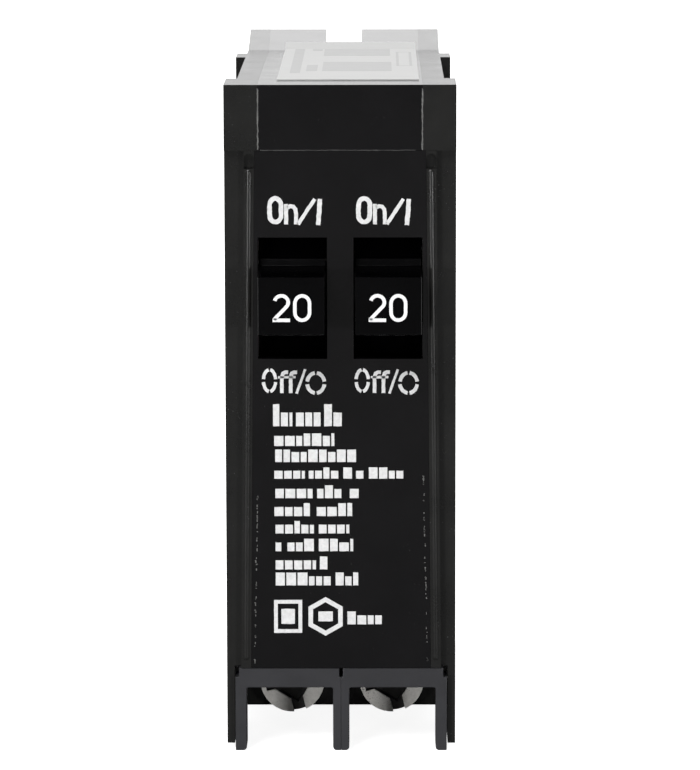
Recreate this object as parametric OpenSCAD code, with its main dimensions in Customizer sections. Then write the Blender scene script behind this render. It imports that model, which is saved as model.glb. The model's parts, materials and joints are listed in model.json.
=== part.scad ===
// Duplex plug-on circuit breaker, 1 inch wide, two poles side by side.
// X runs across the poles, +Z points to the line end and the handles face -Y.
// The origin is the middle of the bounding box, at the height of the feet.

/* [Case] */
// Width over both covers
case_w = 25.4; // [25:0.1:26.2]
// Depth from the front face to the rear face
case_d = 60; // [59:0.5:64]
// Height from the feet to the line end
case_h = 74.2; // [74:0.1:76]
// Width of the centre moulding
centre_w = 18; // [17.9:0.05:18.1]
// Thickness of the front, line-end and rear walls
wall = 1.6; // [1.4:0.1:1.7]
// Thickness of each cover's outer wall
skin = 0.9; // [0.7:0.1:1]
// Thickness of the wall between the poles
partition = 1.2; // [1:0.1:1.4]
// Height of the full-width band at the line end
band_h = 7.2; // [6.5:0.1:8]
// How far the side ledges lie behind the front face
ledge_d = 1.2; // [0.8:0.1:1.5]
// How far the rear of the line end rises above the rest
ramp_rise = 1.8; // [1:0.1:2]
// Depth of the side steps at the line end
side_step = 1.25; // [0.8:0.05:1.3]

/* [Handles] */
// Distance of each handle from the middle
handle_x = 5.25; // [5.2:0.05:5.3]
// Width of a handle window
window_w = 7.6; // [7.5:0.05:7.7]
// Height of a handle window
window_h = 13.4; // [13.2:0.1:14]
// Height of the handle pivot above the feet
pivot_z = 50.8; // [50.6:0.1:51]
// Depth of the handle pivot behind the front face
pivot_d = 10; // [9.9:0.1:10.2]
// How far the handle pad stands out of the front face
handle_reach = 6.5; // [5:0.1:7.5]
// Height of the handle pad
pad_h = 6.3; // [5.5:0.1:6.5]
// Radius of the handle drum in front
drum_r = 9.3; // [9.1:0.1:9.3]

/* [Terminals] */
// Distance of each load terminal from the middle
term_x = 5.65; // [5.6:0.05:5.7]
// Height of the screw axis above the feet
screw_z = 5.3; // [5.2:0.1:5.4]
// Depth of the front of the screw head
screw_d = 12; // [11.8:0.1:12.2]
// Radius of the screw head
head_r = 3.65; // [3.4:0.05:3.7]
// Thickness of the screw head
head_t = 2.4; // [2:0.1:2.5]
// Radius of the screw thread
thread_r = 2; // [1.9:0.05:2.1]
// Height of the shroud beam
beam_h = 2.25; // [2:0.05:2.4]
// Height of the underside of the shroud beam
beam_z = 7.15; // [7:0.05:7.2]
// Depth of the shroud frames
shroud_d = 3.4; // [3:0.1:3.6]

/* [Bus stab] */
// Width of the slot for the bus stab
slot_w = 4.3; // [4.2:0.05:4.5]
// Depth of the slot from the rear face
slot_d = 6.5; // [6.3:0.1:6.6]
// Height at which the slot starts
slot_z = 50; // [49:0.5:51]
// Gap between the jaw leaves
jaw_gap = 2; // [1.8:0.1:2.2]

/* [Hidden] */
$fn = 48;

half_w = case_w / 2;
seam_x = centre_w / 2;
half_wall = partition / 2;
inside_x = half_w - skin;
face_y = -(case_d - handle_reach) / 2;
band_z = case_h - band_h;
big = 200;
black = [0.07, 0.07, 0.075];
shroud_grey = [0.2, 0.2, 0.22];
steel = [0.7, 0.7, 0.72];
copper = [0.78, 0.45, 0.3];
silver = [0.85, 0.85, 0.86];
fibre = [0.6, 0.35, 0.25];

// nose: the raised front between the ledges, a little wider towards the load end
nose_top = 10.5;
nose_low = 11.1;
bead_r = 0.55;
lip = 2 * bead_r + 0.05;
front_edge_z = 9.4;

// line end
bar_d = 8.8;
block_front = 42;
block_back = 48;
step_z = case_h - 5.2;
neck_x = half_w - side_step;
ramp_d = 50;
line_z = case_h + ramp_rise;

// load end
body_z = 1.75;
flank_z = 0.6;
shelf_d = 15;
roof_z = 12;
roof_t = 1.6;
block_d = 29.2;
rail_front = 54.2;
rail_back = 57.4;
rail_top = 8;
lug_half = 3.85;
collar_half = 3.6;
collar_wall = 0.9;
collar_back = 27.5;
collar_front = 18;
collar_front_t = 1.6;
lug_room = collar_front - 0.1;
pad_front = collar_front + collar_front_t + 0.15;
pad_t = 1;
strap_d = 25.3;
strap_t = 1.2;
strap_half = 2.4;
collar_z = 2.2;
collar_h = 7.2;

// jaw block in the middle of the line end
jaw_block = 3.8;
jaw_front = 41;
jaw_back = 53.4;
jaw_z = 53.5;
jaw_h = 14;
leaf_t = 0.9;
jaw_pocket = 2.85;
strap_low = 59.9;
strap_high = 66.1;

// mechanism, one plane in each pole
mech_x = 6.4;
arm_t = 1.6;
arm_pivot = [pivot_d + 6, pivot_z + 4];
arm_reach = [19, 1.2];
contact_at = arm_pivot + arm_reach;
// the contact faces lie flat on each other once the arm has turned by this much
contact_tilt = 18.4;
contact_gap = 4.06;
contact_wipe = 0.44;
contact_r = 1.9;
contact_t = 1;
cradle_pivot = [20, 66];
cradle_x = 9.2;
cradle_t = 1;
cradle_tip = [26.2, 31.6];
hook_at = [23.4, 40];
spring_r = 1.6;
bimetal_d = 38;
bimetal_t = 0.9;
bimetal_z = [16, 43];
armature_d = 32;
armature_top = 44.5;
yoke_z = [26, 38];
latch_z = [31.5, 37];
calibration_z = 18.6;
chute_d = [38.2, 50];
fit = 0.05;

// rivets: depth and height of each
RIVETS = [[5.2, case_h - 3.6], [45, case_h - 3.2], [5.4, 17.5], [50, 12.5]];
rivet_r = 1.5;
rivet_head = 2.5;
rivet_boss = rivet_r + 1.3;
rivet_sink = 0.75;

// shared by the case and what turns in it
trunnion_r = 2;
trunnion_boss = 4;
boss_clear = 3.7;
cradle_pin_r = 1.5;
cradle_hub_r = 2.6;
VENTS = [50, 52.6, 55.2];
vent_x = [5.2, 8];
vent_h = 1.2;
band_set_back = 0.22;

// a closed outline in depth and height, pushed along X from a to b
module slab(points, a, b) {
    translate([a, 0, 0]) rotate([90, 0, 90]) linear_extrude(b - a) polygon(points);
}

// a box given by its lowest and highest corners
module block(low, high) {
    translate(low) cube(high - low);
}

// a rod along X, centred at a depth and height
module rod(at, r, a, b) {
    translate([a, at[0], at[1]]) rotate([0, 90, 0]) cylinder(r = r, h = b - a);
}

// a rod along Y, from depth a to depth b
module pin(x, z, r, a, b) {
    translate([x, a, z]) rotate([-90, 0, 0]) cylinder(r = r, h = b - a);
}

// depth 0 is the front face of the case
module placed() {
    translate([0, face_y, 0]) children();
}

// a piece drawn for the right-hand pole, put on either side
module on_side(side) {
    if (side > 0) placed() children();
    else mirror([1, 0, 0]) placed() children();
}

// the case's side outline: the band and ramp above, the rail slot and foot below
module outline(a, b) {
    slab([[0, body_z], [0, case_h], [ramp_d, case_h], [case_d, line_z], [case_d, 0],
          [rail_back, 0], [rail_back, rail_top], [rail_front, rail_top],
          [rail_front, body_z]], a, b);
}

// openings shared by the centre and the covers: the screw recess and wire passage
module load_cuts() {
    block([half_wall, -1, -1], [half_w - skin + 0.05, shelf_d, front_edge_z]);
    block([half_wall, wall + 0.2, -1], [inside_x, shelf_d, roof_z]);
    block([term_x - lug_half, lug_room, -1], [term_x + lug_half, collar_back + 0.1, roof_z]);
    // the screw head sinks into this as it tightens
    pin(term_x, screw_z, head_r + 0.2, shelf_d - 1, lug_room + 0.1);
    // the way through for the load strap
    block([term_x - strap_half - 0.2, collar_back - 1, roof_z - 1.4],
          [term_x + strap_half + 0.2, block_d + 1, roof_z + 0.1]);
}

// the room for one pole's mechanism, from x = a to x = b
module pole_room(a, b, top) {
    block([a, wall + 0.2, roof_z + roof_t], [b, case_d - wall, top]);
    block([a, block_d, body_z + wall], [b, rail_front - wall, roof_z + roof_t + 1]);
}

module rivet_bosses(a, b, r) {
    for (at = RIVETS) rod(at, r, a, b);
}

// one half of the centre moulding's walls, drawn for x > 0
module centre_half() {
    difference() {
        union() {
            difference() {
                outline(0, seam_x);
                pole_room(half_wall, seam_x + 1, case_h - wall);
                load_cuts();
            }
            // the face reaches a little further out below the band
            nose_face(lip, 0, wall);
            // walls round the jaw
            block([0, jaw_front - 3, jaw_z - 5], [jaw_block, case_d - 0.5, case_h - 0.5]);
            rivet_bosses(0, seam_x, rivet_boss);
            rod([pivot_d, pivot_z], trunnion_boss, 0, handle_x - boss_clear);
            rod(cradle_pivot, cradle_pin_r, 0, cradle_x + cradle_t + 0.4);
            rod(cradle_pivot, cradle_hub_r, 0, mech_x - 1.4);
        }
        // the handle window
        translate([handle_x - window_w / 2, -1, pivot_z - window_h / 2])
            cube([window_w, wall + 3, window_h]);
        // room for the inner prongs of the shrouds
        block([-1, -1, -1], [1, shroud_d + 0.15, front_edge_z]);
        rivet_bosses(-1, big, rivet_r + fit);
        rod([pivot_d, pivot_z], trunnion_r + fit, -1, big);
        // the stab slot and the jaw's pocket
        block([-1, case_d - slot_d, slot_z], [slot_w / 2, case_d + 1, big]);
        block([-1, jaw_front - 0.8, jaw_z - 0.4],
              [jaw_pocket, case_d - slot_d + 1, jaw_z + jaw_h + 0.6]);
        // slots for the line strap
        block([-1, jaw_front - 2.2, strap_low], [jaw_block + 1, jaw_front - 0.7, strap_high]);
        // vents behind the arc chute
        for (z = VENTS) block([vent_x[0], case_d - wall - 1, z], [vent_x[1], case_d + 1, z + vent_h]);
        // the nose stands a little in front of the band
        block([-1, -1, band_z], [big, band_set_back, case_h + 1]);
    }
}

module case_centre() {
    color(black) {
        placed() centre_half();
        mirror([1, 0, 0]) placed() centre_half();
    }
}

module cover(side) {
    color(black) on_side(side) difference() {
        union() {
            difference() {
                union() {
                    outline(seam_x, half_w);
                    // the thin flank beside the screw recess
                    block([inside_x + 0.05, 0, flank_z], [half_w, shelf_d, body_z + 1]);
                }
                pole_room(seam_x - 1, inside_x, step_z - 1);
                block([seam_x - 1, bar_d, step_z - 2], [neck_x - skin, case_d - wall, case_h - wall]);
                load_cuts();
                // the ledge outside the nose
                slab_front([[nose_low, -1], [nose_low, front_edge_z], [nose_top, band_z],
                            [big, band_z], [big, -1]], -1, ledge_d);
                // room for the centre's face
                nose_face(lip - 0.02, -1, wall + 0.02);
            }
            nose_rib();
            for (at = RIVETS) rod(at, rivet_head + 0.7, seam_x, half_w);
            rod([pivot_d, pivot_z], trunnion_boss, handle_x + boss_clear, half_w);
            rod(cradle_pivot, cradle_hub_r, cradle_x + cradle_t + 0.3, half_w);
        }
        rivet_bosses(0, big, rivet_r + fit);
        for (at = RIVETS) rod(at, rivet_head + 0.1, half_w - rivet_sink, big);
        rod([pivot_d, pivot_z], trunnion_r + fit, 0, half_w - skin - 0.3);
        rod(cradle_pivot, cradle_pin_r + fit, 0, half_w - skin);
        dimple();
        // the side steps at the line end
        block([neck_x, bar_d, step_z], [big, block_front, big]);
        block([neck_x, block_back, step_z], [big, big, big]);
        block([neck_x - 0.01, block_front - 0.01, case_h - 0.25], [big, block_back + 0.01, big]);
        // a shallow moulded panel on the side
        block([half_w - 0.25, 12, 21], [big, 50, 61]);
        block([-1, -1, band_z], [big, band_set_back, case_h + 1]);
    }
}

// an outline in x and height, pushed along the depth from a to b
module slab_front(points, a, b) {
    translate([0, b, 0]) rotate([90, 0, 0]) linear_extrude(b - a) polygon(points);
}

// the front between the ledges, narrower than the nose by inset on its outer side
module nose_face(inset, a, b) {
    slab_front([[seam_x - 1, front_edge_z], [nose_low - inset, front_edge_z],
                [nose_top - inset, band_z], [seam_x - 1, band_z]], a, b);
}

// the pocket that the rib's rounded end stands in
module dimple() {
    x = nose_top - bead_r;
    low = band_z - 1.95;
    high = band_z - 0.85;
    pin(x, high, bead_r, -1, 0.9);
    block([x - bead_r, -1, low], [x + bead_r, 0.9, high]);
}

// the rounded rib along the nose's edge
module nose_rib() {
    slope = (nose_low - nose_top) / (band_z - front_edge_z);
    low_z = front_edge_z + 1.2;
    high_z = band_z - 2.4;
    low_x = nose_low - slope * (low_z - front_edge_z) - bead_r - 0.02;
    length = (high_z - low_z) / cos(atan(slope));
    translate([low_x, bead_r - 0.12, low_z]) rotate([0, -atan(slope), 0]) {
        cylinder(r = bead_r, h = length);
        sphere(r = bead_r);
        translate([0, 0, length]) sphere(r = bead_r);
    }
}

module rivets() {
    color(steel) placed() for (at = RIVETS) {
        rod(at, rivet_r, -half_w + 0.4, half_w - 0.4);
        for (side = [-1, 1]) translate([side * (half_w - 0.4), at[0], at[1]]) rotate([0, 90, 0])
            cylinder(r = rivet_head, h = 0.6, center = true);
    }
}

module end_label() {
    thick = 0.12;
    rise = ramp_rise / (case_d - ramp_d);
    end_d = case_d - slot_d - 0.1;
    front_d = 5.9;
    color("white") placed()
        slab([[front_d, case_h], [ramp_d, case_h], [end_d, case_h + rise * (end_d - ramp_d)],
              [end_d, case_h + rise * (end_d - ramp_d) + thick], [ramp_d, case_h + thick],
              [front_d, case_h + thick]], -7, 8.65);
}

// a frame with a beam and two prongs in front of one screw recess
module terminal_shroud(side) {
    outer = inside_x - 0.05;
    leg_in = 0.9;
    leg_out = 1.25;
    notch_in = 0.2;
    notch_out = 0.4;
    notch_h = 1;
    round_r = 0.25;
    toe_r = 0.42;
    front = 0.1;
    top = beam_z + beam_h - 0.05;
    a = leg_in;
    b = outer - leg_out;
    toes = [a - toe_r, b + toe_r];
    color(shroud_grey) on_side(side) {
        difference() {
            slab_front([[0, 0], [0, top - notch_h], [notch_in, top - notch_h],
                        [notch_in, top], [outer - notch_out, top],
                        [outer - notch_out, top - notch_h], [outer, top - notch_h], [outer, 0]],
                       front, front + shroud_d);
            // the space between the prongs, with rounded upper corners
            block([a, -1, -1], [b, big, beam_z - round_r]);
            block([a + round_r, -1, 0], [b - round_r, big, beam_z]);
            for (x = [a + round_r, b - round_r]) pin(x, beam_z - round_r, round_r, -1, big);
            // the toes are rounded towards the screw
            block([toes[0], -1, -1], [toes[1], big, toe_r]);
        }
        for (x = toes) pin(x, toe_r, toe_r, front, front + shroud_d);
    }
}

// a toggle: pad, stem, drum with a thin skirt, hub with trunnions, and a fork for the arm
module handle(side) {
    half = window_w / 2 - 0.2;
    skirt_r = drum_r - 1;
    skirt_t = 0.9;
    tip_d = -handle_reach;
    root = 3.4;
    rib_z = 4.2;
    fork_z = arm_pivot[1] - pivot_z;
    hub = [pivot_d, pivot_z];
    module wedge(angle, a, b) {
        reach = 3 * drum_r;
        slab([hub, hub + reach * [-cos(angle), sin(angle)], hub + [-reach, reach * 0.9],
              hub + [-reach, -reach * 0.9], hub + reach * [-cos(angle), -sin(angle)]], a, b);
    }
    color(black) on_side(side) difference() {
        union() {
            // skirt that closes the window at every position
            intersection() {
                difference() {
                    rod(hub, skirt_r, handle_x - half, handle_x + half);
                    rod(hub, skirt_r - skirt_t, -1, big);
                }
                wedge(72, 0, big);
            }
            // raised front of the drum
            intersection() {
                rod(hub, drum_r, handle_x - half, handle_x + half);
                block([0, -big, pivot_z - rib_z], [big, pivot_d - 4, pivot_z + rib_z]);
            }
            // stem and pad
            slab([[tip_d, pivot_z - pad_h / 2], [tip_d, pivot_z + pad_h / 2],
                  [pivot_d - drum_r + 1, pivot_z + root], [pivot_d - 4, pivot_z + root],
                  [pivot_d - 4, pivot_z - root], [pivot_d - drum_r + 1, pivot_z - root]],
                 handle_x - half, handle_x + half);
            // web to the hub
            slab([hub + [-5, -3], hub + [-5, 3], hub + [0, 2.2], hub + [0, -2.2]],
                 handle_x - 2.2, handle_x + 2.2);
            rod(hub, 3, handle_x - half, handle_x + half);
            rod(hub, trunnion_r, 0.15, inside_x - 0.4);
            // fork
            for (x = [mech_x - 1.9, mech_x + 1]) {
                slab([hub + [-1, -2.6], hub + [-1, 2.6], arm_pivot + [-1, 1.9],
                      arm_pivot + [0.6, 1.8], arm_pivot + [1.8, 0], hub + [4, -1.4]], x, x + 0.9);
                rod(arm_pivot, 1.9, x, x + 0.9);
            }
        }
        rod(arm_pivot, 0.9, 0, big);
    }
}

module arm_pin(side) {
    color(steel) on_side(side) rod(arm_pivot, 0.88, mech_x - 2, mech_x + 2);
}

// places a piece drawn under the contact face at the end of the arm
module at_contact() {
    translate([mech_x, contact_at[0], contact_at[1]]) rotate([-contact_tilt, 0, 0]) children();
}

// stamped arm with a hook for the spring and a pad under the contact
module contact_arm(side) {
    seat = contact_at[1] - contact_t;
    color(copper) on_side(side) difference() {
        union() {
            slab([arm_pivot + [0, 1.8], arm_pivot + [8, 1.1], [contact_at[0] - 3, seat - 0.4],
                  [contact_at[0] + 1.6, seat - 1], [contact_at[0] + 1.2, seat - 3],
                  [contact_at[0] - 4, seat - 3.2], arm_pivot + [9, -2.2], arm_pivot + [0, -1.8]],
                 mech_x - arm_t / 2, mech_x + arm_t / 2);
            rod(arm_pivot, 1.8, mech_x - arm_t / 2, mech_x + arm_t / 2);
            at_contact() translate([-2.2, -2.3, -contact_t - 0.9]) cube([4.4, 4.6, 0.9]);
        }
        rod(arm_pivot, 0.93, 0, big);
        rod(arm_pivot + [8.2, -0.8], 0.45, 0, big);
    }
}

module moving_contact(side) {
    color(silver) on_side(side)
        at_contact() translate([0, 0, -contact_t]) cylinder(r = contact_r, h = contact_t);
}

module fixed_contact(side) {
    color(silver) on_side(side)
        translate([mech_x, contact_at[0] - contact_wipe, contact_at[1] + contact_gap])
            cylinder(r = contact_r, h = contact_t);
}

// one conductor from the jaw to both fixed contacts
module line_strap() {
    arm_z = contact_at[1] + contact_gap + contact_t;
    color(copper) placed() {
        block([-8.6, jaw_front - 2.1, arm_z], [8.6, jaw_front - 0.9, 66]);
        for (side = [-1, 1]) {
            low = side > 0 ? mech_x - 2.2 : -mech_x - 2.2;
            block([low, contact_at[0] - 3.5, arm_z], [low + 4.4, jaw_front - 1, arm_z + 1.2]);
        }
    }
}

module line_clip() {
    inner = jaw_gap / 2;
    color(copper) placed() {
        block([-inner - leaf_t, jaw_front - 0.78, jaw_z],
              [inner + leaf_t, jaw_front + 0.3, jaw_z + jaw_h]);
        for (side = [0, 1]) mirror([side, 0, 0])
            // each leaf bows in and flares out again at its mouth
            translate([0, 0, jaw_z]) linear_extrude(jaw_h)
                polygon([[inner, jaw_front], [inner - 0.35, jaw_back - 3.6], [inner + 0.45, jaw_back],
                         [inner + 0.45 + leaf_t, jaw_back], [inner - 0.35 + leaf_t, jaw_back - 3.6],
                         [inner + leaf_t, jaw_front]]);
    }
}

// steel spring clip round the jaw
module clip_spring() {
    inner = jaw_gap / 2 + leaf_t;
    thick = 0.5;
    color(steel) placed() {
        block([-inner - thick - 0.05, jaw_front + 0.6, jaw_z + 3],
              [-inner - 0.05, jaw_back - 3.6, jaw_z + 11]);
        block([inner + 0.05, jaw_front + 0.6, jaw_z + 3], [inner + thick + 0.05, jaw_back - 3.6, jaw_z + 11]);
        block([-inner - thick - 0.05, jaw_front + 0.6, jaw_z - 0.35],
              [inner + thick + 0.05, jaw_back - 6, jaw_z - 0.02]);
        for (x = [-inner - thick - 0.05, inner + 0.05])
            block([x, jaw_front + 0.6, jaw_z - 0.35], [x + thick, jaw_back - 6, jaw_z + 3.1]);
    }
}

// trip lever: pivots near the line end, its tip latches in the armature
module cradle(side) {
    a = cradle_x;
    b = cradle_x + cradle_t;
    color(steel) on_side(side) difference() {
        union() {
            rod(cradle_pivot, cradle_hub_r, a, b);
            slab([cradle_pivot + [-1.8, -1.8], cradle_pivot + [2.3, -1], [25.6, 50], [25.4, 40],
                  cradle_tip + [-1.6, 3.2], cradle_tip + [0, 1.8], cradle_tip, cradle_tip + [-3, -0.6],
                  [22.2, 40], [21.6, 50]], a, b);
            // tab for the spring
            block([mech_x - 0.6, hook_at[0] - 0.6, hook_at[1] - 1],
                  [a + 0.1, hook_at[0] + 0.6, hook_at[1] + 1]);
        }
        rod(cradle_pivot, cradle_pin_r + fit, 0, big);
    }
}

// closed-coil tension spring between the arm and the trip lever
module main_spring(side) {
    top = arm_pivot + [8.2, -0.8];
    foot = hook_at + [0, 1.2];
    span = top - foot;
    tilt = atan2(span[0], span[1]);
    color(steel) on_side(side) translate([mech_x, foot[0], foot[1]]) rotate([-tilt, 0, 0]) {
        difference() {
            translate([0, 0, 1.2]) cylinder(r = spring_r, h = norm(span) - 4.2);
            cylinder(r = spring_r - 0.45, h = big);
        }
        translate([spring_r - 0.45, 0, 0.05]) cylinder(r = 0.22, h = 1.4);
        translate([spring_r - 0.45, 0, norm(span) - 3.2]) cylinder(r = 0.22, h = 1);
    }
}

module bimetal(side) {
    color(steel) on_side(side)
        block([mech_x - 2.2, bimetal_d, bimetal_z[0]],
              [mech_x + 2.2, bimetal_d + bimetal_t, bimetal_z[1]]);
}

module magnet_yoke(side) {
    half = 3.9;
    sheet = 0.9;
    pole_d = armature_d + 3.4;
    ear = 1.5;
    color(steel) on_side(side) {
        block([mech_x - half, bimetal_d + 1, yoke_z[0]], [mech_x + half, bimetal_d + 2, yoke_z[1]]);
        for (x = [mech_x - half, mech_x + half - sheet]) {
            block([x, pole_d, yoke_z[0]], [x + sheet, bimetal_d + 1.1, yoke_z[1]]);
            // ears that carry the armature
            block([x, pole_d, yoke_z[1] - 1], [x + sheet, bimetal_d - 0.4, armature_top + ear]);
            block([x, armature_d - 0.6, armature_top - ear], [x + sheet, pole_d + 0.1, armature_top + ear]);
        }
        rod([armature_d + 0.5, armature_top], 0.7, mech_x - half, mech_x + half);
    }
}

// hinged plate: its window holds the tip of the trip lever
module armature(side) {
    half = 2.8;
    color(steel) on_side(side) difference() {
        union() {
            block([mech_x - half, armature_d, 22], [mech_x + half, armature_d + 1, armature_top]);
            block([mech_x, armature_d, latch_z[0] - 3], [mech_x + 4.6, armature_d + 1, latch_z[1] + 2.5]);
            rod([armature_d + 0.5, armature_top], 1.35, mech_x - half, mech_x + half);
        }
        rod([armature_d + 0.5, armature_top], 0.75, -1, big);
        block([cradle_x - 0.25, armature_d - 1, latch_z[0]],
              [cradle_x + cradle_t + 0.25, armature_d + 2, latch_z[1]]);
    }
}

// flat flexible lead from the arm to the free end of the bimetal
module braid(side) {
    thick = 0.9;
    ROUTE = [[30.5, 51.2], [31.2, 48.8], [33.4, 47.4], [36.2, 46.9], [38.6, 46.1],
             [39.5, 44.4], [39.55, 41]];
    last = len(ROUTE) - 1;
    // unit normal of the route at point i
    function across(i) = let (run = ROUTE[min(i + 1, last)] - ROUTE[max(i - 1, 0)])
        [-run[1], run[0]] / norm(run);
    color(copper) on_side(side)
        slab([for (i = [0:last]) ROUTE[i] + across(i) * thick / 2,
              for (i = [last:-1:0]) ROUTE[i] - across(i) * thick / 2], mech_x - 1.2, mech_x + 1.2);
}

module load_strap(side) {
    riser_d = 40.2;
    riser_top = 24;
    color(copper) on_side(side) difference() {
        slab([[strap_d, 2.4], [strap_d, roof_z - 0.1], [riser_d, roof_z - 0.1],
              [riser_d, riser_top], [riser_d + strap_t, riser_top],
              [riser_d + strap_t, roof_z - 0.1 - strap_t],
              [strap_d + strap_t, roof_z - 0.1 - strap_t], [strap_d + strap_t, 2.4]],
             term_x - strap_half, term_x + strap_half);
        pin(mech_x, calibration_z, 0.85, riser_d - 1, riser_d + 3);
    }
}

module calibration_screw(side) {
    head_d = 45;
    color(steel) on_side(side) {
        pin(mech_x, calibration_z, 0.8, bimetal_d + bimetal_t + 0.05, head_d);
        difference() {
            pin(mech_x, calibration_z, 1.6, head_d, head_d + 1.4);
            block([mech_x - 2, head_d + 0.9, calibration_z - 0.25],
                  [mech_x + 2, head_d + 2, calibration_z + 0.25]);
        }
    }
}

// square box lug: the screw is threaded through its front wall
module terminal_collar(side) {
    color(steel) on_side(side) difference() {
        block([term_x - collar_half, collar_front, collar_z],
              [term_x + collar_half, collar_back, collar_z + collar_h]);
        block([term_x - collar_half + collar_wall, collar_front + collar_front_t, 0],
              [term_x + collar_half - collar_wall, collar_back - collar_wall, 20]);
        pin(term_x, screw_z, thread_r + fit, 0, 30);
    }
}

module pressure_pad(side) {
    color(steel) on_side(side) difference() {
        block([term_x - 2.6, pad_front, collar_z + 0.3],
              [term_x + 2.6, pad_front + pad_t, collar_z + collar_h - 0.3]);
        pin(term_x, screw_z, 1.3 + fit, 0, 60);
    }
}

// load screw with a wide head: a slot right across, a shorter cross slot and a square socket
module terminal_screw(side) {
    slot_half = 0.7;
    cross_half = 0.55;
    cross_reach = 3.15;
    socket_half = 1.95;
    turned = 14;
    color(steel) on_side(side) difference() {
        union() {
            pin(term_x, screw_z, head_r, screw_d, screw_d + head_t);
            pin(term_x, screw_z, thread_r, screw_d + head_t - 0.1, pad_front - 0.05);
            pin(term_x, screw_z, 1.3, pad_front - 0.2, pad_front + pad_t - 0.15);
        }
        translate([term_x, screw_d, screw_z]) rotate([0, -side * turned, 0]) {
            block([-slot_half, -1, -5], [slot_half, 1, 5]);
            block([-cross_reach, -1, -cross_half], [cross_reach, 1, cross_half]);
            rotate([0, 45, 0])
                block([-socket_half, -1, -socket_half], [socket_half, 1.6, socket_half]);
        }
    }
}

// U-shaped steel plates that split the arc
module arc_plates(side) {
    color(steel) on_side(side) for (z = [49.6:2.6:58]) difference() {
        block([4.5, chute_d[0], z], [10.5, chute_d[1], z + 1]);
        block([mech_x - 1.7, chute_d[0] - 1, z - 1], [mech_x + 1.7, chute_d[0] + 4.8, z + 2]);
    }
}

// fibre side walls with slots that hold the plates
module arc_frame(side) {
    color(fibre) on_side(side) for (x = [3.85, 10.6])
        block([x, chute_d[0], 48.2], [x + 0.6, chute_d[1], 59.2]);
}

case_centre();
cover(-1);  // cover_left
cover(1);  // cover_right
rivets();
end_label();
terminal_shroud(-1);  // terminal_shroud_left
terminal_shroud(1);  // terminal_shroud_right
handle(-1);  // handle_left
handle(1);  // handle_right
terminal_screw(-1);  // terminal_screw_left
terminal_screw(1);  // terminal_screw_right
pressure_pad(-1);  // pressure_pad_left
pressure_pad(1);  // pressure_pad_right
terminal_collar(-1);  // terminal_collar_left
terminal_collar(1);  // terminal_collar_right
load_strap(-1);  // load_strap_left
load_strap(1);  // load_strap_right
bimetal(-1);  // bimetal_left
bimetal(1);  // bimetal_right
magnet_yoke(-1);  // magnet_yoke_left
magnet_yoke(1);  // magnet_yoke_right
armature(-1);  // armature_left
armature(1);  // armature_right
cradle(-1);  // cradle_left
cradle(1);  // cradle_right
contact_arm(-1);  // contact_arm_left
contact_arm(1);  // contact_arm_right
moving_contact(-1);  // moving_contact_left
moving_contact(1);  // moving_contact_right
arm_pin(-1);  // arm_pin_left
arm_pin(1);  // arm_pin_right
fixed_contact(-1);  // fixed_contact_left
fixed_contact(1);  // fixed_contact_right
main_spring(-1);  // main_spring_left
main_spring(1);  // main_spring_right
braid(-1);  // braid_left
braid(1);  // braid_right
calibration_screw(-1);  // calibration_screw_left
calibration_screw(1);  // calibration_screw_right
arc_plates(-1);  // arc_plates_left
arc_plates(1);  // arc_plates_right
arc_frame(-1);  // arc_frame_left
arc_frame(1);  // arc_frame_right
line_strap();
line_clip();
clip_spring();
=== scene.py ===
"""The looks of a duplex plug-on circuit breaker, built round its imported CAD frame."""

import json
import math
import random

import bmesh
import bpy
from mathutils import Matrix, Vector


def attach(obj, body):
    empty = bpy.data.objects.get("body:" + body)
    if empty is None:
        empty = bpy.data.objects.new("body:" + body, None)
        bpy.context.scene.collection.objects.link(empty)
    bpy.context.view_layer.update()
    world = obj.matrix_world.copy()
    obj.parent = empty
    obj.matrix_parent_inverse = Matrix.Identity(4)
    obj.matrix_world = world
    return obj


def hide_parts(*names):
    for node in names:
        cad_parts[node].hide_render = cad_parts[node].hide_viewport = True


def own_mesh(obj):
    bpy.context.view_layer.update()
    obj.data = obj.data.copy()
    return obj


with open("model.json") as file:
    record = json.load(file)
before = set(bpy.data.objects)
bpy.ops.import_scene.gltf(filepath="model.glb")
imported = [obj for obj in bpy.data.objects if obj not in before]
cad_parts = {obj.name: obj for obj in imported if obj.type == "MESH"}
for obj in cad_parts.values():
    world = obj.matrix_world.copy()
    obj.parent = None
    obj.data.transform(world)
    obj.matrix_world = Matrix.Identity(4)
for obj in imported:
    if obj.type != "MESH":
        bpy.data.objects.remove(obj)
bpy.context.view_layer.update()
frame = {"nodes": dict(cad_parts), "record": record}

MM = 0.001
FRONT = -26.75      # Y of the front face, in mm: a depth behind it adds to this
SIDES = {"left": -1, "right": 1}
NODES = frame["nodes"]
BODY_OF = {node: body for body, nodes in frame["record"]["behaviour"]["bodies"].items()
           for node in nodes}
random.seed(20)


# ---------------------------------------------------------------- node graphs

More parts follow.
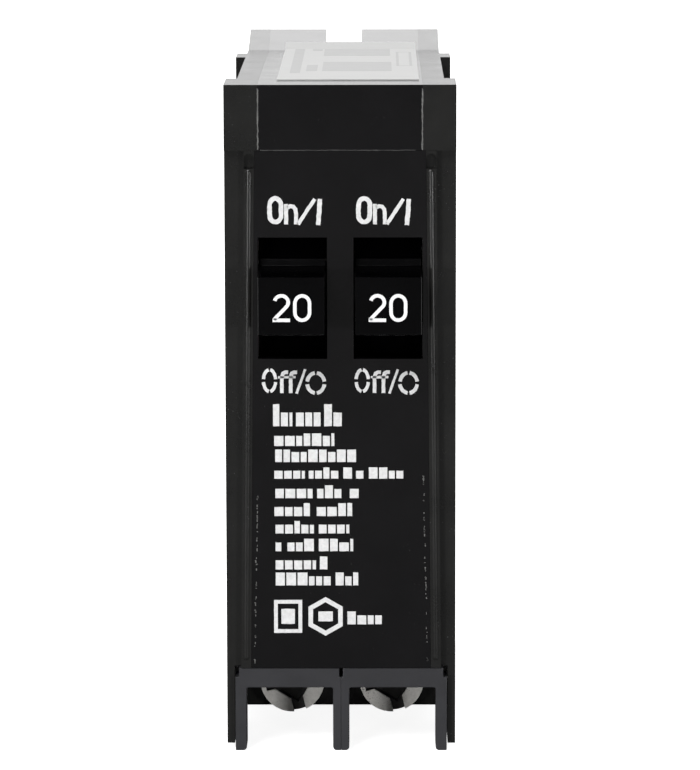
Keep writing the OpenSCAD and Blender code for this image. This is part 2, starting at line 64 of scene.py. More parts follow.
class Graph:
    """A small helper for node trees."""

    def __init__(self, tree):
        self.tree = tree
        tree.nodes.clear()

    def add(self, kind, inputs=None, **props):
        node = self.tree.nodes.new(kind)
        for key, value in props.items():
            setattr(node, key, value)
        for key, value in (inputs or {}).items():
            self.put(node.inputs[key], value)
        return node

    def put(self, socket, value):
        """Links a socket or a node's first output, or sets a plain value."""
        if isinstance(value, bpy.types.NodeSocket):
            self.tree.links.new(value, socket)
        elif hasattr(value, "outputs"):
            self.tree.links.new(value.outputs[0], socket)
        else:
            socket.default_value = value

    def noise(self, where, feature_mm, detail, rough):
        return self.add("ShaderNodeTexNoise", {
            "Vector": where, "Scale": 1.0 / (feature_mm * MM), "Detail": detail,
            "Roughness": rough}).outputs["Fac"]

    def span(self, value, a, b, c, d):
        """Maps a..b to c..d and holds it there outside."""
        return self.add("ShaderNodeMapRange", {
            "Value": value, "From Min": a, "From Max": b, "To Min": c, "To Max": d}).outputs[0]

    def mix(self, fac, a, b):
        node = self.add("ShaderNodeMix", data_type="RGBA")
        self.put(node.inputs["Factor"], fac)
        self.put(node.inputs["A"], a)
        self.put(node.inputs["B"], b)
        return node.outputs["Result"]

    def maths(self, op, a, b):
        node = self.add("ShaderNodeMath", operation=op)
        self.put(node.inputs[0], a)
        self.put(node.inputs[1], b)
        return node.outputs[0]

    def stretch(self, where, scale, turn):
        return self.add("ShaderNodeMapping", {
            "Vector": where, "Scale": scale, "Rotation": turn}).outputs[0]


def rgb(r, g, b):
    return (r, g, b, 1.0)


def surface(name, low, high, rough, metal=0.0, ior=1.5, patch_mm=3.0, grain_mm=0.2,
            grain_um=2.0, wave_um=0.0, scratch=0.0, specks=None, speck_mm=0.25,
            speck_at=0.72, painted_shade=None):
    """A mottled, grained surface.

    low and high are its two colours, and rough its lowest and highest roughness. A name in _mm
    is the size of a feature, and one in _um the height of a bump. scratch is a depth in um,
    and specks the colour of small dots, which appear where the noise is over speck_at.
    The painted shade is given as the Y in mm where it starts, the Y where it is full, and its
    colour:
    the surface is painted darker the deeper it lies, as shade falls in a recess."""
    mat = bpy.data.materials.new(name)
    mat.use_nodes = True
    g = Graph(mat.node_tree)
    where = g.add("ShaderNodeTexCoord").outputs["Object"]
    patch = g.noise(where, patch_mm, 4.0, 0.6)
    fine = g.noise(where, grain_mm, 3.0, 0.6)
    both = g.maths("ADD", g.maths("MULTIPLY", patch, 0.7), g.maths("MULTIPLY", fine, 0.3))
    colour = g.mix(g.span(both, 0.35, 0.65, 0.0, 1.0), low, high)
    roughness = g.span(both, 0.3, 0.7, rough[0], rough[1])
    height = g.maths("MULTIPLY", fine, grain_um)
    if wave_um:
        wave = g.noise(where, patch_mm * 2.2, 1.0, 0.4)
        height = g.maths("ADD", height, g.maths("MULTIPLY", wave, wave_um))
    if scratch:
        lines = g.noise(g.stretch(where, (1.0, 12.0, 0.6), (0.3, 0.2, 0.9)), 0.5, 2.0, 0.5)
        line = g.span(lines, 0.62, 0.7, 0.0, 1.0)
        height = g.maths("SUBTRACT", height, g.maths("MULTIPLY", line, scratch))
        roughness = g.maths("ADD", roughness, g.maths("MULTIPLY", line, 0.12))
    if specks:
        dots = g.span(g.noise(where, speck_mm, 1.0, 0.5), speck_at, speck_at + 0.05, 0.0, 1.0)
        spread = g.span(g.noise(where, 4.0, 2.0, 0.5), 0.5, 0.62, 0.0, 1.0)
        colour = g.mix(g.maths("MULTIPLY", dots, spread), colour, specks)
    # painted shade: past the start depth the surface is painted towards the shade's colour, with an
    # uneven edge
    if painted_shade:
        start, full, shade_colour = painted_shade
        y = g.add("ShaderNodeSeparateXYZ", {"Vector": where}).outputs["Y"]
        uneven = g.maths("ADD", y, g.maths("MULTIPLY", patch, 0.25 * MM))
        colour = g.mix(g.span(uneven, start * MM, full * MM, 0.0, 1.0), colour, shade_colour)
    # height is in micrometres, so the bump's distance is one of them
    bump = g.add("ShaderNodeBump", {"Height": height, "Strength": 1.0, "Distance": 1e-6})
    shader = g.add("ShaderNodeBsdfPrincipled", {
        "Base Color": colour, "Roughness": roughness, "Metallic": metal, "IOR": ior,
        "Normal": bump})
    out = g.add("ShaderNodeOutputMaterial")
    g.put(out.inputs["Surface"], shader)
    return mat


BLACK_IOR = 1.38
MATERIALS = {
    "case": surface("case_plastic", rgb(.0017, .0015, .0019), rgb(.0029, .0026, .0032),
                    (.15, .21), ior=BLACK_IOR, patch_mm=5, grain_mm=.12, grain_um=1.2,
                    wave_um=14, specks=rgb(.03, .03, .03)),
    # the covers' black is lighter than the case's: partly their own tone, partly painted light for
    # what their bands, ribs and ledges catch
    "cover": surface("cover_plastic_and_painted_light", rgb(.0082, .0082, .0078), rgb(.0122, .0121, .0115),
                     (.20, .28), ior=BLACK_IOR, patch_mm=6, grain_mm=.15, grain_um=1.6,
                     wave_um=18, specks=rgb(.05, .05, .05)),
    "handle": surface("handle_plastic", rgb(.0004, .0004, .0006), rgb(.0010, .0010, .0013),
                      (.15, .21), ior=1.2, patch_mm=4, grain_mm=.1, grain_um=.8,
                      wave_um=6),
    "shroud": surface("shroud_plastic", rgb(.021, .021, .0240), rgb(.029, .029, .0330),
                      (.42, .55), ior=1.4, patch_mm=4, grain_mm=.12, grain_um=1.6, wave_um=8),
    "zinc": surface("zinc_plate", rgb(.46, .44, .40), rgb(.66, .64, .59), (.34, .55),
                    metal=1.0, patch_mm=.9, grain_mm=.15, grain_um=6, wave_um=20, scratch=5,
                    specks=rgb(.16, .15, .13), speck_mm=.18, speck_at=.66),
    # the screw is painted near black from Y -14.45 mm back: painted shade in the head's slots and
    # socket and behind the head
    "screw": surface("worn_zinc_screw_painted_shade", rgb(.74, .72, .68), rgb(.92, .90, .86), (.42, .6),
                     metal=.1, patch_mm=.7, grain_mm=.14, grain_um=8, wave_um=26, scratch=6,
                     specks=rgb(.16, .15, .13), speck_mm=.16, speck_at=.64,
                     painted_shade=(-14.45, -14.05, rgb(.045, .042, .040))),
    "steel": surface("plain_steel", rgb(.44, .44, .45), rgb(.58, .58, .58), (.28, .42),
                     metal=1.0, patch_mm=2.5, grain_mm=.2, grain_um=2, wave_um=4, scratch=2),
    "blued": surface("blued_steel", rgb(.10, .10, .11), rgb(.17, .16, .16), (.34, .5),
                     metal=1.0, patch_mm=1.6, grain_mm=.15, grain_um=3, scratch=2),
    "copper": surface("copper_strip", rgb(.62, .30, .18), rgb(.78, .42, .28), (.25, .42),
                      metal=1.0, patch_mm=2.0, grain_mm=.2, grain_um=2, wave_um=4, scratch=2,
                      specks=rgb(.25, .12, .08)),
    "silver": surface("silver_alloy", rgb(.74, .73, .70), rgb(.86, .85, .82), (.22, .38),
                      metal=1.0, patch_mm=.8, grain_mm=.1, grain_um=2),
    "tinned": surface("tinned_copper", rgb(.58, .56, .52), rgb(.72, .70, .66), (.3, .45),
                      metal=1.0, patch_mm=1.5, grain_mm=.2, grain_um=3, wave_um=6, scratch=2),
    "fibre": surface("vulcanised_fibre", rgb(.16, .055, .03), rgb(.26, .10, .055), (.55, .75),
                     patch_mm=1.2, grain_mm=.18, grain_um=8, scratch=6),
    "label": surface("label_film", rgb(.49, .49, .487), rgb(.53, .53, .525), (.55, .65), ior=1.3,
                     patch_mm=5, grain_mm=.15, grain_um=1.2, wave_um=10),
    "label_ink": surface("label_ink", rgb(.38, .38, .38), rgb(.43, .43, .428), (.5, .6), ior=1.3,
                         patch_mm=2, grain_mm=.12, grain_um=1),
    "white_ink": surface("white_ink", rgb(.86, .86, .86), rgb(.95, .95, .95), (.5, .65),
                         patch_mm=.5, grain_mm=.1, grain_um=3),
    "worn_ink": surface("worn_white_ink", rgb(.66, .66, .66), rgb(.84, .84, .84), (.5, .65),
                        patch_mm=.35, grain_mm=.1, grain_um=5),
    # a lighter grey than the case: partly trimmed flash's own, partly a painted highlight where the
    # seams catch light
    "flash": surface("trimmed_flash_and_highlight", rgb(.06, .06, .058), rgb(.17, .17, .165), (.45, .6),
                     patch_mm=.4, grain_mm=.1, grain_um=4),
    # a painted highlight: the faint light line along the lower edge of the band
    "painted_edge_highlight": surface("painted_edge_highlight", rgb(.02, .02, .02), rgb(.05, .05, .049), (.45, .6),
                           patch_mm=.6, grain_mm=.1, grain_um=3),
}


# -------------------------------------------------------------------- meshes

def mesh_piece(name, verts, faces, material, body, slot, smooth=False):
    """A new closed piece on a body, from vertices in mm in the shared frame."""
    data = bpy.data.meshes.new(name)
    data.from_pydata([tuple(Vector(v) * MM) for v in verts], [], faces)
    data.materials.append(MATERIALS[material])
    for poly in data.polygons:
        poly.use_smooth = smooth
    data.update()
    bm = bmesh.new()
    bm.from_mesh(data)
    bmesh.ops.recalc_face_normals(bm, faces=bm.faces)
    bm.to_mesh(data)
    bm.free()
    piece = bpy.data.objects.new(name, data)
    bpy.context.scene.collection.objects.link(piece)
    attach(piece, body)
    return piece


FLAT_ANGLE, EDGE_ANGLE = 0.5, 30    # degrees: faces this flat are joined, edges this sharp rounded


def soften(piece, width_mm):
    """Rounds the edges of a piece, after joining its split vertices and flat faces."""
    weld = piece.modifiers.new("weld", "WELD")
    weld.merge_threshold = 1e-6
    flat = piece.modifiers.new("flat", "DECIMATE")
    flat.decimate_type = "DISSOLVE"
    flat.angle_limit = math.radians(FLAT_ANGLE)
    bevel = piece.modifiers.new("bevel", "BEVEL")
    bevel.width = width_mm * MM
    bevel.segments = 2
    bevel.limit_method = "ANGLE"
    bevel.angle_limit = math.radians(EDGE_ANGLE)
    bevel.miter_outer = "MITER_ARC"
    bevel.use_clamp_overlap = True
    even = piece.modifiers.new("even", "WEIGHTED_NORMAL")
    even.keep_sharp = True


def dress(names, material, width_mm):
    """Gives CAD nodes their finish, and rounded edges of this width if it isn't 0."""
    for name in names:
        node = NODES[name]
        node.data.materials.clear()
        node.data.materials.append(MATERIALS[material])
        if width_mm:
            soften(node, width_mm)


def pair(*names):
    """The left and right node of each name."""
    return [f"{n}_{s}" for n in names for s in SIDES]


dress(["case_centre"], "case", 0.14)
dress(pair("cover"), "cover", 0.14)
dress(pair("handle"), "handle", 0.14)
dress(pair("terminal_shroud"), "shroud", 0.08)
dress(pair("terminal_collar", "pressure_pad"), "zinc", 0.12)
dress(pair("terminal_screw"), "screw", 0.14)
dress(["rivets"], "zinc", 0.2)
dress(pair("cradle", "armature", "magnet_yoke", "arm_pin", "calibration_screw"), "steel", 0.08)
dress(pair("bimetal"), "tinned", 0.06)
dress(pair("arc_plates") + ["clip_spring"], "blued", 0.06)
dress(pair("contact_arm", "load_strap") + ["line_strap"], "copper", 0.1)
dress(pair("moving_contact", "fixed_contact"), "silver", 0.12)
dress(pair("arc_frame"), "fibre", 0.06)
dress(["line_clip"], "tinned", 0.08)
dress(["end_label"], "label", 0)


# ---------------------------------------------------------- springs and wires

def curve_through(points, per):
    """A smooth line through these points, with this many steps between two of them."""
    out = []
    for i in range(len(points) - 1):
        a, b, c, d = (Vector(points[min(max(k, 0), len(points) - 1)]) for k in range(i - 1, i + 3))
        for s in range(per):
            u = s / per
            out.append(0.5 * (2 * b + (c - a) * u + (2 * a - 5 * b + 4 * c - d) * u ** 2
                              + (3 * b - a - 3 * c + d) * u ** 3))
    return out + [Vector(points[-1])]


def heading(line, i):
    """The direction of a line at its point i."""
    return (line[min(i + 1, len(line) - 1)] - line[max(i - 1, 0)]).normalized()


def tube_faces(rings, sides):
    """The walls and two ends of a tube, for vertices listed ring by ring."""
    faces = []
    for i in range(rings - 1):
        for k in range(sides):
            m = (k + 1) % sides
            faces.append([i * sides + k, i * sides + m, (i + 1) * sides + m, (i + 1) * sides + k])
    return faces + [list(range(sides))[::-1], [(rings - 1) * sides + k for k in range(sides)]]


def wire(path, radius, sides=8):
    """Vertices and faces of a closed round wire along a line."""
    verts = []
    side = (path[1] - path[0]).orthogonal().normalized()
    for i, p in enumerate(path):
        run = heading(path, i)
        side = (side - run * side.dot(run)).normalized()
        other = run.cross(side)
        for k in range(sides):
            a = 2 * math.pi * k / sides
            verts.append(p + (side * math.cos(a) + other * math.sin(a)) * radius)
    return verts, tube_faces(len(path), sides)


def join(parts):
    """One list of vertices and one of faces from several of each."""
    verts, faces = [], []
    for v, f in parts:
        base = len(verts)
        verts += v
        faces += [[base + i for i in face] for face in f]
    return verts, faces


MECH_X = 6.4        # the plane of each spring and lead, from the middle of the case
SPRING_FOOT, SPRING_TOP = Vector((23.4, 41.2)), Vector((24.2, 54.0))    # depth and height
COIL_R, WIRE_R = 1.375, 0.225
COIL_FROM, COIL_TO, TURNS, PER_TURN = 1.35, 9.65, 17, 18
# each hook: its radius, and how far along the spring its middle is
FOOT_HOOK_R, FOOT_HOOK_AT, TOP_HOOK_R, TOP_HOOK_AT = 0.6, 0.85, 0.55, 9.86


def spring_path():
    """The wire's middle: two distances across the spring and one along it, with a hook each end."""
    def hook(radius, at, angles):
        return [(radius * math.cos(math.radians(a)), 0, at + radius * math.sin(math.radians(a)))
                for a in angles]

    coil, steps = [], TURNS * PER_TURN
    for i in range(steps + 1):
        a = 2 * math.pi * i / PER_TURN
        coil.append((COIL_R * math.cos(a), COIL_R * math.sin(a),
                     COIL_FROM + (COIL_TO - COIL_FROM) * i / steps))
    return (hook(FOOT_HOOK_R, FOOT_HOOK_AT, range(150, 361, 21)) + coil
            + hook(TOP_HOOK_R, TOP_HOOK_AT, range(0, 211, 21)))


def spring_piece(side, sign):
    """The coil spring in place of its CAD solid."""
    along = (SPRING_TOP - SPRING_FOOT).normalized()
    path = [Vector((sign * MECH_X + u, FRONT + SPRING_FOOT.x + along.x * s + along.y * v,
                    SPRING_FOOT.y + along.y * s - along.x * v)) for u, v, s in spring_path()]
    verts, faces = wire(path, WIRE_R)
    name = "main_spring_" + side
    piece = mesh_piece("coil_spring_" + side, verts, faces, "steel", BODY_OF[name],
                       "plain_steel", smooth=True)
    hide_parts(name)
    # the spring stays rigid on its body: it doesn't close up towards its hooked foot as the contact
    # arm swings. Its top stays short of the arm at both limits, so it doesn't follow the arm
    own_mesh(piece)


# depth and height of points along the lead, from the contact arm to the bimetal
BRAID_ROUTE = [(30.5, 51.2), (31.2, 48.8), (33.4, 47.4), (36.2, 46.9), (38.6, 46.1), (39.5, 44.4),
               (39.55, 41.0)]
STRANDS, STRAND_R, BRAID_HALF, BRAID_RISE, WEAVES = 9, 0.15, 1.02, 0.27, 3.5
ROUTE_STEPS, STRAND_SIDES = 12, 6
TAIL_END = 24       # the lead is cut at this point of 72, the first tried that clears the arm


def braid_pieces(side, sign):
    """Plaited strands along the lead's route, cut in two: the first third rides the arm.

    The two parts come apart as the arm swings: the lead doesn't bend as a real one does."""
    line = curve_through([(0, FRONT + d, z) for d, z in BRAID_ROUTE], ROUTE_STEPS)
    total = len(line) - 1
    tail, rest = [], []
    for strand in range(STRANDS):
        path = []
        for i, p in enumerate(line):
            run = heading(line, i)
            up = Vector((0, -run.z, run.y))
            turn = 2 * math.pi * (WEAVES * i / total + strand / STRANDS)
            path.append(p + Vector((sign * MECH_X + BRAID_HALF * math.cos(turn), 0, 0))
                        + up * (BRAID_RISE * math.sin(2 * turn)))
        tail.append(wire(path[:TAIL_END + 1], STRAND_R, STRAND_SIDES))
        rest.append(wire(path[TAIL_END:], STRAND_R, STRAND_SIDES))
    name = "braid_" + side
    piece = mesh_piece("woven_braid_" + side, *join(rest), "copper", BODY_OF[name],
                       "braid_copper", smooth=True)
    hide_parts(name)
    mesh_piece("braid_tail_" + side, *join(tail), "copper", BODY_OF["contact_arm_" + side],
               "braid_copper", smooth=True)


THREAD_PITCH = 0.794
SCREW_X, SCREW_Z = 5.65, 5.3
THREAD_FROM, THREAD_TO = 14.75, 19.4    # depths
ROOT_R, CREST_R = 1.94, 2.17
ROOT_HALF, CREST_HALF = 0.26, 0.05      # half the ridge's width at its root and at its crest
THREAD_STEPS, RUN_OUT = 24, 10          # steps in a turn, and steps in which the ridge fades
RIDGE_LEAST = 0.002                     # its height at the ends, so that no face there is flat


def thread_piece(side, sign):
    """The right-hand thread ridge round the terminal screw's shank."""
    steps = int((THREAD_TO - THREAD_FROM) / THREAD_PITCH * THREAD_STEPS)
    verts = []
    for i in range(steps + 1):
        a = -2 * math.pi * i / THREAD_STEPS
        d = THREAD_FROM + (THREAD_TO - THREAD_FROM) * i / steps
        # the ridge runs out at both ends
        full = min(1.0, i / RUN_OUT, (steps - i) / RUN_OUT)
        crest = ROOT_R + (CREST_R - ROOT_R) * full + RIDGE_LEAST
        for r, y in ((ROOT_R, -ROOT_HALF), (crest, -CREST_HALF), (crest, CREST_HALF),
                     (ROOT_R, ROOT_HALF)):
            verts.append((sign * SCREW_X + r * math.cos(a), FRONT + d + y,
                          SCREW_Z + r * math.sin(a)))
    mesh_piece("screw_thread_" + side, verts, tube_faces(steps + 1, 4), "zinc",
               BODY_OF["terminal_screw_" + side], "zinc_plate")


RIVETS = [(5.2, 70.6), (45.0, 71.0), (5.4, 17.5), (50.0, 12.5)]    # depth and height
HEAD_FACE = 12.59
ROLL_STEPS, ROLL_UNEVEN = 40, 0.008
# the ring's section: distance from the rivet's middle, and how far it stands out of the head
ROLL = [(0.75, 0.0), (0.86, 0.05), (1.05, 0.075), (1.3, 0.07), (1.5, 0.04), (1.6, 0.0)]


def rolled_rivets():
    """The rolled-over end of each tubular rivet, as a low ring on its head."""
    verts, faces, n = [], [], len(ROLL)
    for sign in SIDES.values():
        for d, z in RIVETS:
            base = len(verts)
            for k in range(ROLL_STEPS):
                a = 2 * math.pi * k / ROLL_STEPS
                for r, rise in ROLL:
                    r += random.uniform(-ROLL_UNEVEN, ROLL_UNEVEN)
                    verts.append((sign * (HEAD_FACE + rise), FRONT + d + r * math.cos(a),
                                  z + r * math.sin(a)))
            for k in range(ROLL_STEPS):
                m = (k + 1) % ROLL_STEPS
                for i in range(n):
                    j = (i + 1) % n
                    faces.append([base + k * n + i, base + k * n + j, base + m * n + j,
                                  base + m * n + i])
    mesh_piece("rivet_rolls", verts, faces, "zinc", BODY_OF["rivets"], "zinc_plate", smooth=True)


rolled_rivets()
for side, sign in SIDES.items():
    spring_piece(side, sign)
    braid_pieces(side, sign)
    thread_piece(side, sign)


# ------------------------------------------------------------------- markings

def arc(cx, cz, rx, rz, start, end, count):
    """Points on an ellipse from one angle to another, in degrees, with count steps."""
    return [(cx + rx * math.cos(math.radians(start + (end - start) * i / count)),
             cz + rz * math.sin(math.radians(start + (end - start) * i / count)))
            for i in range(count + 1)]


def fill_in(points, step):
    """The same line with extra points, no further apart than step."""
    out = [points[0]]
    for a, b in zip(points, points[1:]):
        n = max(1, math.ceil(math.dist(a, b) / step))
        out += [(a[0] + (b[0] - a[0]) * i / n, a[1] + (b[1] - a[1]) * i / n)
                for i in range(1, n + 1)]
    return out


def band(points, width, closed, wobble):
    """The two edges of a stroke of this width along a line."""
    left, right, n = [], [], len(points)
    for i, p in enumerate(points):
        a = points[(i - 1) % n] if closed or i else p
        b = points[(i + 1) % n] if closed or i < n - 1 else p
        dx, dz = b[0] - a[0], b[1] - a[1]
        size = math.hypot(dx, dz)
        nx, nz = -dz / size, dx / size
        bend = 1.0
        if (closed or 0 < i < n - 1) and a != p and b != p:
            ux, uz = p[0] - a[0], p[1] - a[1]
            s = math.hypot(ux, uz)
            bend = 1.0 / max(0.5, abs(nx * -uz / s + nz * ux / s))
        h = width / 2 * bend
        left.append((p[0] + nx * (h + random.uniform(-wobble, wobble)),
                     p[1] + nz * (h + random.uniform(-wobble, wobble))))
        right.append((p[0] - nx * (h + random.uniform(-wobble, wobble)),
                      p[1] - nz * (h + random.uniform(-wobble, wobble))))
    return left, right


class Print:
    """Thin raised print, in mm: on a face towards -Y, drawn in x and z, or on top, in x and y."""

    def __init__(self, level, thick, on_top=False):
        self.verts, self.faces = [], []
        self.level, self.thick, self.on_top = level, thick, on_top

    def place(self, a, b, out):
        """A point of the drawing, this far out of the face."""
        return (a, b, self.level + out) if self.on_top else (a, self.level - out, b)

    def solid(self, left, right, closed):
        """Adds a closed solid between two edges."""
        base, n = len(self.verts), len(left)
        for out in (self.thick, 0.0):
            self.verts += [self.place(a, b, out) for a, b in left + right]
        for i in range(n if closed else n - 1):
            j = (i + 1) % n
            f = [base + i, base + j, base + n + j, base + n + i]
            k = [v + 2 * n for v in f]
            self.faces += [f, k[::-1], [f[0], k[0], k[1], f[1]], [f[2], k[2], k[3], f[3]]]
        if not closed:
            for i in (0, n - 1):
                a, b = base + i, base + n + i
                self.faces.append([a, b, b + 2 * n, a + 2 * n] if i == 0
                                  else [b, a, a + 2 * n, b + 2 * n])

    def stroke(self, points, width, closed=False, wobble=0.0, step=0.25):
        """Adds a line of this width, uneven by wobble at points no further apart than step."""
        if closed:
            points = fill_in(points + points[:1], step)[:-1]
        else:
            points = fill_in(points, step)
        self.solid(*band(points, width, closed, wobble), closed)

    def patch(self, a0, a1, b0, b1, wobble, step=0.5):
        """Adds a filled rectangle."""
        self.stroke([(a0, (b0 + b1) / 2), (a1, (b0 + b1) / 2)], b1 - b0, wobble=wobble, step=step)

    def piece(self, name, material, body, slot):
        mesh_piece(name, self.verts, self.faces, material, body, slot)


PAD_Y = FRONT - 6.5     # the face of a handle's pad
INK, MARK_INK, FLECK_INK = 0.02, 0.03, 0.025    # thickness of print, raised marks and flecks
INK_SUNK = 0.012        # how far the pad's print goes into the pad
STROKE_20 = 0.385
RATING_X, RATING_Z = {"left": -7.26, "right": 3.13}, 49.09


def draw_20(ink, x, z):
    """The rating number, 3.05 mm high, starting at x and standing on z."""
    w = STROKE_20
    two = arc(x + .95, z + 2.14, .74, .72, 165, -35, 16) + [(x + .139, z + .252)]
    ink.stroke(two, w)
    ink.stroke([(x, z + w / 2), (x + 1.88, z + w / 2)], w)
    cx = x + 3.2
    zero = arc(cx, z + 2.008, .79, .85, 0, 180, 14) + arc(cx, z + 1.043, .79, .85, 180, 360, 14)
    ink.stroke(zero, w, closed=True)


STENCIL = ((97, 172), (8, 83), (188, 263), (277, 352))      # the arcs of a stencilled ring
# the marks are drawn where the left pole has them, and shifted by this for the right pole
ON_SHIFT, OFF_SHIFT = {"left": 0.0, "right": 9.70}, {"left": 0.0, "right": 10.19}
for side in SIDES:
    ink = Print(PAD_Y + INK_SUNK, INK)
    draw_20(ink, RATING_X[side], RATING_Z)
    ink.piece("rating_" + side, "white_ink", "handle_" + side, "handle_black")

    ink = Print(FRONT, MARK_INK)
    s = ON_SHIFT[side]
    # the upper mark, thick and a little uneven
    ring = (arc(-7.075 + s, 61.05, .625, .75, 0, 180, 10)
            + arc(-7.075 + s, 59.96, .625, .75, 180, 360, 10))
    ink.stroke(ring, .5, closed=True, wobble=.03)
    ink.stroke([(-5.9 + s, 58.96), (-5.9 + s, 61.2)], .44, wobble=.02)
    ink.stroke([(-5.75 + s, 60.78), (-5.45 + s, 60.96), (-5.1 + s, 60.9), (-4.87 + s, 60.6),
                (-4.82 + s, 60.2), (-4.82 + s, 58.96)], .42, wobble=.02)
    ink.stroke([(-4.60 + s, 58.96), (-2.77 + s, 61.75)], .4, wobble=.03)
    ink.stroke([(-2.40 + s, 58.87), (-2.19 + s, 61.75)], .5, wobble=.03)
    ink.piece("mark_on_" + side, "worn_ink", "case", "case_black")

    ink = Print(FRONT, MARK_INK)
    s = OFF_SHIFT[side]
    # the lower mark, with the gaps of a stencil
    for a, b in STENCIL:
        ink.stroke(arc(-7.795 + s, 41.685, .675, 1.205, a, b, 8), .36, wobble=.02)
        ink.stroke(arc(-2.71 + s, 41.42, .95, 1.12, a, b, 8), .4, wobble=.02)
    for x in (-6.445 + s, -5.47 + s):
        ink.stroke([(x, 40.3), (x, 42.1), (x + .14, 42.5), (x + .4, 42.62), (x + .7, 42.6)], .4,
                   wobble=.02)
    ink.stroke([(-6.85 + s, 42.06), (-4.93 + s, 42.06)], .26, wobble=.02)
    ink.stroke([(-4.83 + s, 40.25), (-3.88 + s, 42.94)], .27, wobble=.02)
    ink.piece("mark_off_" + side, "worn_ink", "case", "case_black")

# rows of plain blocks stand for the lines of print: the bottom and top of a row, how much of its
# height most blocks fill, and where its words start and end
ROWS = [
    (36.60, 39.06, .62, [(-7.43, -5.3), (-4.9, -2.2), (-1.8, .29)]),
    (34.40, 35.80, .80, [(-7.32, -.69)]),
    (32.60, 34.00, .80, [(-7.21, 1.70)]),
    (30.75, 32.00, .70, [(-7.32, -3.95), (-3.52, -.26), (.29, 1.26), (1.70, 2.68), (3.11, 7.13)]),
    (28.56, 30.00, .72, [(-7.21, -3.1), (-2.6, .5), (1.0, 2.0)]),
    (26.55, 28.00, .70, [(-7.32, -3.41), (-2.65, 1.26)]),
    (24.60, 26.00, .70, [(-7.21, -2.97), (-2.43, .94)]),
    (22.60, 24.00, .70, [(-7.21, -6.34), (-5.90, -2.97), (-2.43, 1.37)]),
    (20.55, 22.00, .70, [(-7.21, -2.75), (-2.32, -1.02)]),
    (18.75, 20.20, .70, [(-7.21, -1.13), (-.58, 1.92)]),
    (14.35, 15.80, .70, [(.72, 4.52)]),
]
BLOCK_GAP, BLOCK_LEAST = 0.17, 0.3
BLOCK_WIDTH = (0.42, 0.78)      # as a share of the row's height, up to WIDEST_LINE
WIDEST_LINE = 1.5
ink = Print(FRONT, INK)
for low, high, fill, words in ROWS:
    for start, end in words:
        x = start
        while x < end - BLOCK_LEAST:
            wide = min(random.uniform(*BLOCK_WIDTH) * min(high - low, WIDEST_LINE), end - x)
            tall = (high - low) * random.choice((fill, fill, 1.0))
            ink.patch(x, x + wide, low, low + tall, wobble=.015)
            x += wide + BLOCK_GAP
# plain shapes stand for the two approval marks
ink.stroke([(-7.2, 13.6), (-4.5, 13.6), (-4.5, 16.9), (-7.2, 16.9)], .42, closed=True)
ink.patch(-6.6, -5.1, 14.4, 16.1, wobble=.02)
ink.stroke(arc(-1.7, 15.25, 1.9, 1.9, 30, 330, 5), .5, closed=True, step=2)
ink.patch(-2.5, -.9, 14.7, 15.8, wobble=.02)
ink.piece("print_bars", "worn_ink", "case", "case_black")

# faint print on the end label, as plain patches
LABEL_TOP, LABEL_INK = 74.32, 0.01
ink = Print(LABEL_TOP, LABEL_INK, on_top=True)
for x0, x1, d0, d1 in ((-5.76, -4.61, 14.6, 49.8), (-3.66, -2.49, 47.2, 49.8),
                       (-3.98, -2.73, 17.4, 25.9), (-2.25, 5.56, 39.5, 49.8),
                       (-2.17, 5.68, 17.4, 30.2)):
    ink.patch(x0, x1, FRONT + d0, FRONT + d1, wobble=.06, step=1.0)
ink.stroke([(x, FRONT + d) for x, d in ((6.4, 24.6), (7.9, 24.6), (7.9, 45.0), (6.4, 45.0))], .3,
           closed=True, step=1.0)
ink.piece("label_print", "label_ink", "case", "label_white")

# thin moulding flash along the seams. Its lighter grey is partly the trimmed flash's own and
# partly a painted highlight, the light the seams catch
BAND_FACE, SEAM_X, BAND_FROM, BAND_TO = FRONT + 0.22, 8.98, 67.0, 73.8
FLECKS, FLECK_FROM, FLECK_TO = 44, 9.8, 31.0
FLECK_X, FLECK_LEAN, FLECK_SCATTER = 9.12, 0.022, 0.035
for side, sign in SIDES.items():
    ink = Print(BAND_FACE, MARK_INK)
    ink.stroke([(sign * SEAM_X, BAND_FROM + .1), (sign * SEAM_X, BAND_TO)], .15, wobble=.035,
               step=.3)
    ink.piece("seam_flash_" + side, "flash", "case", "case_black")

    # flecks where the flash of the lower seam was trimmed, in the same grey: partly their own,
    # partly painted glints
    ink = Print(FRONT, FLECK_INK)
    for _ in range(FLECKS):
        z = random.uniform(FLECK_FROM, FLECK_TO)
        x = sign * (FLECK_X + (FLECK_TO - z) * FLECK_LEAN + random.gauss(0, FLECK_SCATTER))
        long = random.uniform(.08, .34)
        ink.stroke([(x, z), (x + random.uniform(-.02, .02), z + long)], random.uniform(.07, .15))
    ink.piece("seam_flecks_" + side, "flash", "case", "case_black")
# a painted highlight along the band's lower edge, where the step there catches light
ink = Print(BAND_FACE, INK)
ink.stroke([(-8.7, BAND_FROM + .06), (8.3, BAND_FROM + .06)], .09, wobble=.02, step=.4)
ink.piece("edge_highlight_across", "painted_edge_highlight", "case", "case_black")


# --------------------------------------------------------------------- stage

FLOOR, FLOOR_DROP = 4.0, 2e-5       # in metres: half its width, and how far it is under the part
floor_data = bpy.data.meshes.new("floor")
corners = [(-FLOOR, -FLOOR, 0), (FLOOR, -FLOOR, 0), (FLOOR, FLOOR, 0), (-FLOOR, FLOOR, 0)]
floor_data.from_pydata(corners, [], [(0, 1, 2, 3)])
floor = bpy.data.objects.new("floor", floor_data)
bpy.context.scene.collection.objects.link(floor)
floor.location.z = -FLOOR_DROP
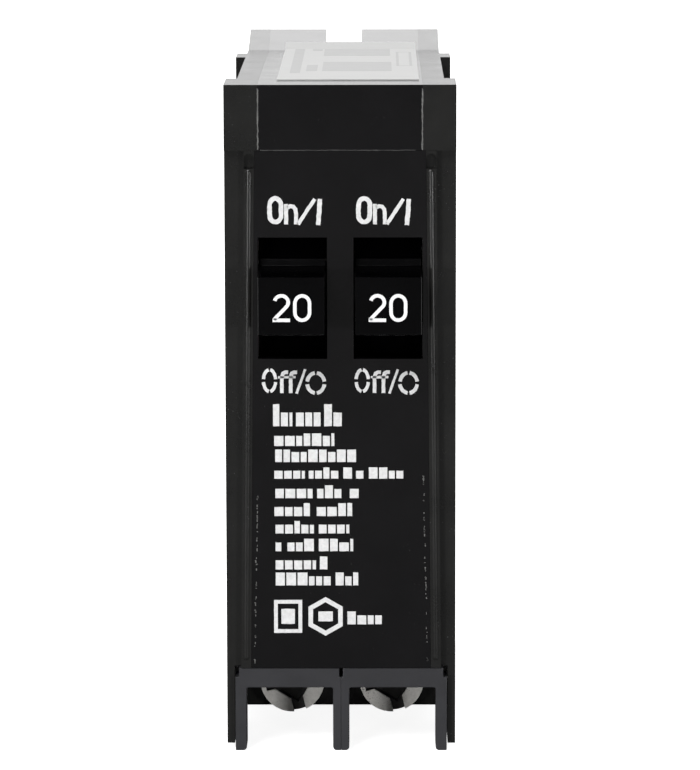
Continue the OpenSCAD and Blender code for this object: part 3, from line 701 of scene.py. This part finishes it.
# the camera sees one even pale floor. Every other ray, which makes the reflections and the
# bounced light, sees a floor that is dim in front of the part
PAPER, PAPER_DIM, GLOW = rgb(.80, .80, .80), rgb(.24, .24, .24), 0.9
WHITE = rgb(1, 1, 1)
paper = bpy.data.materials.new("studio_paper")
paper.use_nodes = True
g = Graph(paper.node_tree)
seen = g.add("ShaderNodeLightPath").outputs["Is Camera Ray"]
pale = g.add("ShaderNodeBsdfPrincipled", {
    "Base Color": PAPER, "Roughness": 0.9, "Emission Color": WHITE, "Emission Strength": GLOW})
where = g.add("ShaderNodeTexCoord").outputs["Object"]
depth = g.add("ShaderNodeSeparateXYZ", {"Vector": where}).outputs["Y"]
behind = g.add("ShaderNodeMapRange", {"Value": depth, "From Min": 0.0, "From Max": 0.12},
               interpolation_type="SMOOTHSTEP").outputs[0]
lit = g.add("ShaderNodeBsdfPrincipled", {
    "Base Color": g.mix(behind, PAPER_DIM, PAPER), "Roughness": 0.9,
    "Emission Color": WHITE, "Emission Strength": g.span(behind, 0, 1, 0.0, GLOW)})
both = g.add("ShaderNodeMixShader")
g.put(both.inputs[0], seen)
g.put(both.inputs[1], lit)
g.put(both.inputs[2], pale)
g.put(g.add("ShaderNodeOutputMaterial").inputs["Surface"], both)
floor_data.materials.append(paper)

# the camera sees a white room, and every other ray one that is dim in front of the part
world = bpy.data.worlds.new("studio")
bpy.context.scene.world = world
world.use_nodes = True
g = Graph(world.node_tree)
direction = g.add("ShaderNodeTexCoord").outputs["Generated"]
depth = g.add("ShaderNodeSeparateXYZ", {"Vector": direction}).outputs["Y"]
strength = g.span(depth, -0.7, 0.9, 0.16, 1.16)
seen = g.add("ShaderNodeLightPath").outputs["Is Camera Ray"]
both = g.add("ShaderNodeMixShader")
g.put(both.inputs[0], seen)
g.put(both.inputs[1], g.add("ShaderNodeBackground", {"Color": WHITE, "Strength": strength}))
g.put(both.inputs[2], g.add("ShaderNodeBackground", {"Color": WHITE, "Strength": 1.0}))
g.put(g.add("ShaderNodeOutputWorld").inputs["Surface"], both)


def area_light(name, place, aim, size, power):
    """A soft rectangular light at a place, turned towards a point."""
    data = bpy.data.lights.new(name, "AREA")
    data.shape = "RECTANGLE"
    data.size, data.size_y = size
    data.energy = power
    light = bpy.data.objects.new(name, data)
    light.location = place
    light.rotation_euler = (Vector(aim) - Vector(place)).to_track_quat("-Z", "Y").to_euler()
    bpy.context.scene.collection.objects.link(light)


area_light("key", (-0.45, -0.75, 0.85), (0, 0, 0.04), (0.5, 0.5), 9.5)
for name, x in (("fill_left", -0.44), ("fill_right", 0.44)):
    area_light(name, (x, -0.89, 0.05), (0, 0, 0.006), (0.12, 0.08), 2.3)
area_light("back", (0.0, 1.25, 0.85), (0, 0.02, 0.06), (1.5, 0.8), 6.5)


# -------------------------------------------------------------------- camera

# the photo's view: long lens, almost straight on, from a little above
YAW, PITCH, ROLL = (math.radians(a) for a in (-0.40, 8.81, -0.1))
CAMERA_AT, LENS_MM, SENSOR_MM = (0.0043, -0.49265, 0.1134), 200.6, 36
forward = Vector((math.sin(YAW) * math.cos(PITCH), math.cos(YAW) * math.cos(PITCH),
                  -math.sin(PITCH)))
right = Vector((math.cos(YAW), -math.sin(YAW), 0))
up = right.cross(forward)
right_r = right * math.cos(ROLL) + up * math.sin(ROLL)
up_r = up * math.cos(ROLL) - right * math.sin(ROLL)
camera_data = bpy.data.cameras.new("camera")
camera_data.sensor_width = SENSOR_MM
camera_data.lens = LENS_MM
camera_data.clip_start, camera_data.clip_end = 0.01, 20
camera = bpy.data.objects.new("camera", camera_data)
camera.matrix_world = Matrix.Translation(CAMERA_AT) @ Matrix(
    (right_r, up_r, -forward)).transposed().to_4x4()
bpy.context.scene.collection.objects.link(camera)
bpy.context.scene.camera = camera
bpy.context.scene.view_settings.view_transform = "Standard"
